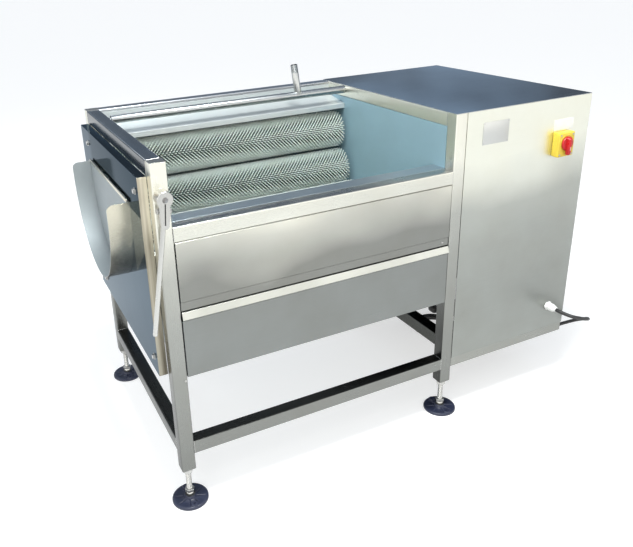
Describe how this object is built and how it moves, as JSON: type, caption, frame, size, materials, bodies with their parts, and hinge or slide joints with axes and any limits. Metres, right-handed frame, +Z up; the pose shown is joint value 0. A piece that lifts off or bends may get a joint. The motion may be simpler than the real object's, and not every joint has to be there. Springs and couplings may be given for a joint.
{
  "type": "roller vegetable washer",
  "caption": "Stainless steel brush washer: an open tube frame with a trough of driven brush rollers, a gated U spout at one end, a drive cabinet at the other, and levelling feet.",
  "frame": {"origin": "middle of the footprint box of the machine without its cord, on the floor", "axes": "+X along the rollers from the spout to the drive cabinet, +Y from the front with the switch to the back, +Z up"},
  "size_m": [1.5365, 0.8984, 1.0912],
  "materials": {
    "brushed_steel": "satin brushed stainless steel",
    "polished_steel": "polished stainless steel sheet",
    "navy_plastic": "matt dark plastic",
    "bristle": "pale green nylon bristle",
    "cast_steel": "oiled machined steel",
    "motor_paint": "satin paint over a casting",
    "yellow_plastic": "glossy moulded plastic",
    "red_plastic": "glossy moulded plastic",
    "white_nylon": "satin moulded nylon",
    "black_rubber": "satin rubber"
  },
  "bodies": {
    "machine": {"back_panel": "brushed_steel", "cabinet_back_panel": "brushed_steel", "cabinet_frame": "brushed_steel", "cabinet_front_panel": "brushed_steel", "cabinet_right_panel": "brushed_steel", "cabinet_top_panel": "polished_steel", "cord_coil": "black_rubber", "cord_gland": "white_nylon", "cord_plug": "black_rubber", "cord_run": "black_rubber", "drain_hopper": "brushed_steel", "end_wall": "polished_steel", "front_guard": "polished_steel", "front_lower_panel": "polished_steel", "front_upper_panel": "polished_steel", "gear_motor": "motor_paint", "motor_bracket": "brushed_steel", "motor_chain": "cast_steel", "post_back_left": "brushed_steel", "post_back_mid": "brushed_steel", "post_front_left": "brushed_steel", "post_front_mid": "brushed_steel", "rail_front": "brushed_steel", "rail_low_front": "brushed_steel", "rail_low_left": "brushed_steel", "rail_top_back": "brushed_steel", "rail_top_left": "brushed_steel", "rail_top_mid": "brushed_steel", "right_wall": "polished_steel", "roller_chain": "cast_steel", "splash_guard": "polished_steel", "spout": "polished_steel", "spray_pipe": "polished_steel", "switch_base": "yellow_plastic"},
    "roller_1": {"brush_roller_1": "bristle", "roller_sprocket_1": "cast_steel"},
    "roller_2": {"brush_roller_2": "bristle", "roller_sprocket_2": "cast_steel"},
    "roller_3": {"brush_roller_3": "bristle", "roller_sprocket_3": "cast_steel"},
    "roller_4": {"brush_roller_4": "bristle", "roller_sprocket_4": "cast_steel", "driven_sprocket": "cast_steel"},
    "roller_5": {"brush_roller_5": "bristle", "roller_sprocket_5": "cast_steel"},
    "roller_6": {"brush_roller_6": "bristle", "roller_sprocket_6": "cast_steel"},
    "drive": {"drive_sprocket": "cast_steel"},
    "gate": {"gate_plate": "polished_steel", "gate_shaft": "cast_steel", "gate_lever": "polished_steel"},
    "knob": {"switch_knob": "red_plastic"},
    "foot_1": {"foot_pad_1": "navy_plastic", "foot_spindle_1": "polished_steel"},
    "foot_2": {"foot_pad_2": "navy_plastic", "foot_spindle_2": "polished_steel"},
    "foot_3": {"foot_pad_3": "navy_plastic", "foot_spindle_3": "polished_steel"},
    "foot_4": {"foot_pad_4": "navy_plastic", "foot_spindle_4": "polished_steel"}
  },
  "joints": [
    {"name": "roller_1_spin", "type": "hinge", "parent": "machine", "child": "roller_1", "pos_m": [-0.203, 0.27105, 0.84], "axis": [1, 0, 0], "continuous": true},
    {"name": "roller_2_spin", "type": "hinge", "parent": "machine", "child": "roller_2", "pos_m": [-0.203, 0.23555, 0.7075], "axis": [1, 0, 0], "continuous": true},
    {"name": "roller_3_spin", "type": "hinge", "parent": "machine", "child": "roller_3", "pos_m": [-0.203, 0.13855, 0.6105], "axis": [1, 0, 0], "continuous": true},
    {"name": "roller_4_spin", "type": "hinge", "parent": "machine", "child": "roller_4", "pos_m": [-0.203, 0.00605, 0.575], "axis": [1, 0, 0], "continuous": true},
    {"name": "roller_5_spin", "type": "hinge", "parent": "machine", "child": "roller_5", "pos_m": [-0.203, -0.12645, 0.6105], "axis": [1, 0, 0], "continuous": true},
    {"name": "roller_6_spin", "type": "hinge", "parent": "machine", "child": "roller_6", "pos_m": [-0.203, -0.22345, 0.7075], "axis": [1, 0, 0], "continuous": true},
    {"name": "drive_spin", "type": "hinge", "parent": "machine", "child": "drive", "pos_m": [0.287, 0.00605, 0.372], "axis": [1, 0, 0], "continuous": true},
    {"name": "gate_swing", "type": "hinge", "parent": "machine", "child": "gate", "pos_m": [-0.643, 0.00605, 0.918], "axis": [0, 1, 0], "range_deg": [0, 35]},
    {"name": "switch_turn", "type": "hinge", "parent": "machine", "child": "knob", "pos_m": [0.6315, -0.40485, 0.864], "axis": [0, 1, 0], "range_deg": [0, 90]},
    {"name": "foot_1_level", "type": "slide", "parent": "machine", "child": "foot_1", "axis": [0, 0, -1], "range_m": [0, 0.025]},
    {"name": "foot_2_level", "type": "slide", "parent": "machine", "child": "foot_2", "axis": [0, 0, -1], "range_m": [0, 0.025]},
    {"name": "foot_3_level", "type": "slide", "parent": "machine", "child": "foot_3", "axis": [0, 0, -1], "range_m": [0, 0.025]},
    {"name": "foot_4_level", "type": "slide", "parent": "machine", "child": "foot_4", "axis": [0, 0, -1], "range_m": [0, 0.025]}
  ],
  "couplings": [
    {"joint": "drive_spin", "follows": "roller_4_spin", "ratio": 1},
    {"joint": "roller_1_spin", "follows": "roller_4_spin", "ratio": 1},
    {"joint": "roller_2_spin", "follows": "roller_4_spin", "ratio": 1},
    {"joint": "roller_3_spin", "follows": "roller_4_spin", "ratio": 1},
    {"joint": "roller_5_spin", "follows": "roller_4_spin", "ratio": 1},
    {"joint": "roller_6_spin", "follows": "roller_4_spin", "ratio": 1}
  ]
}
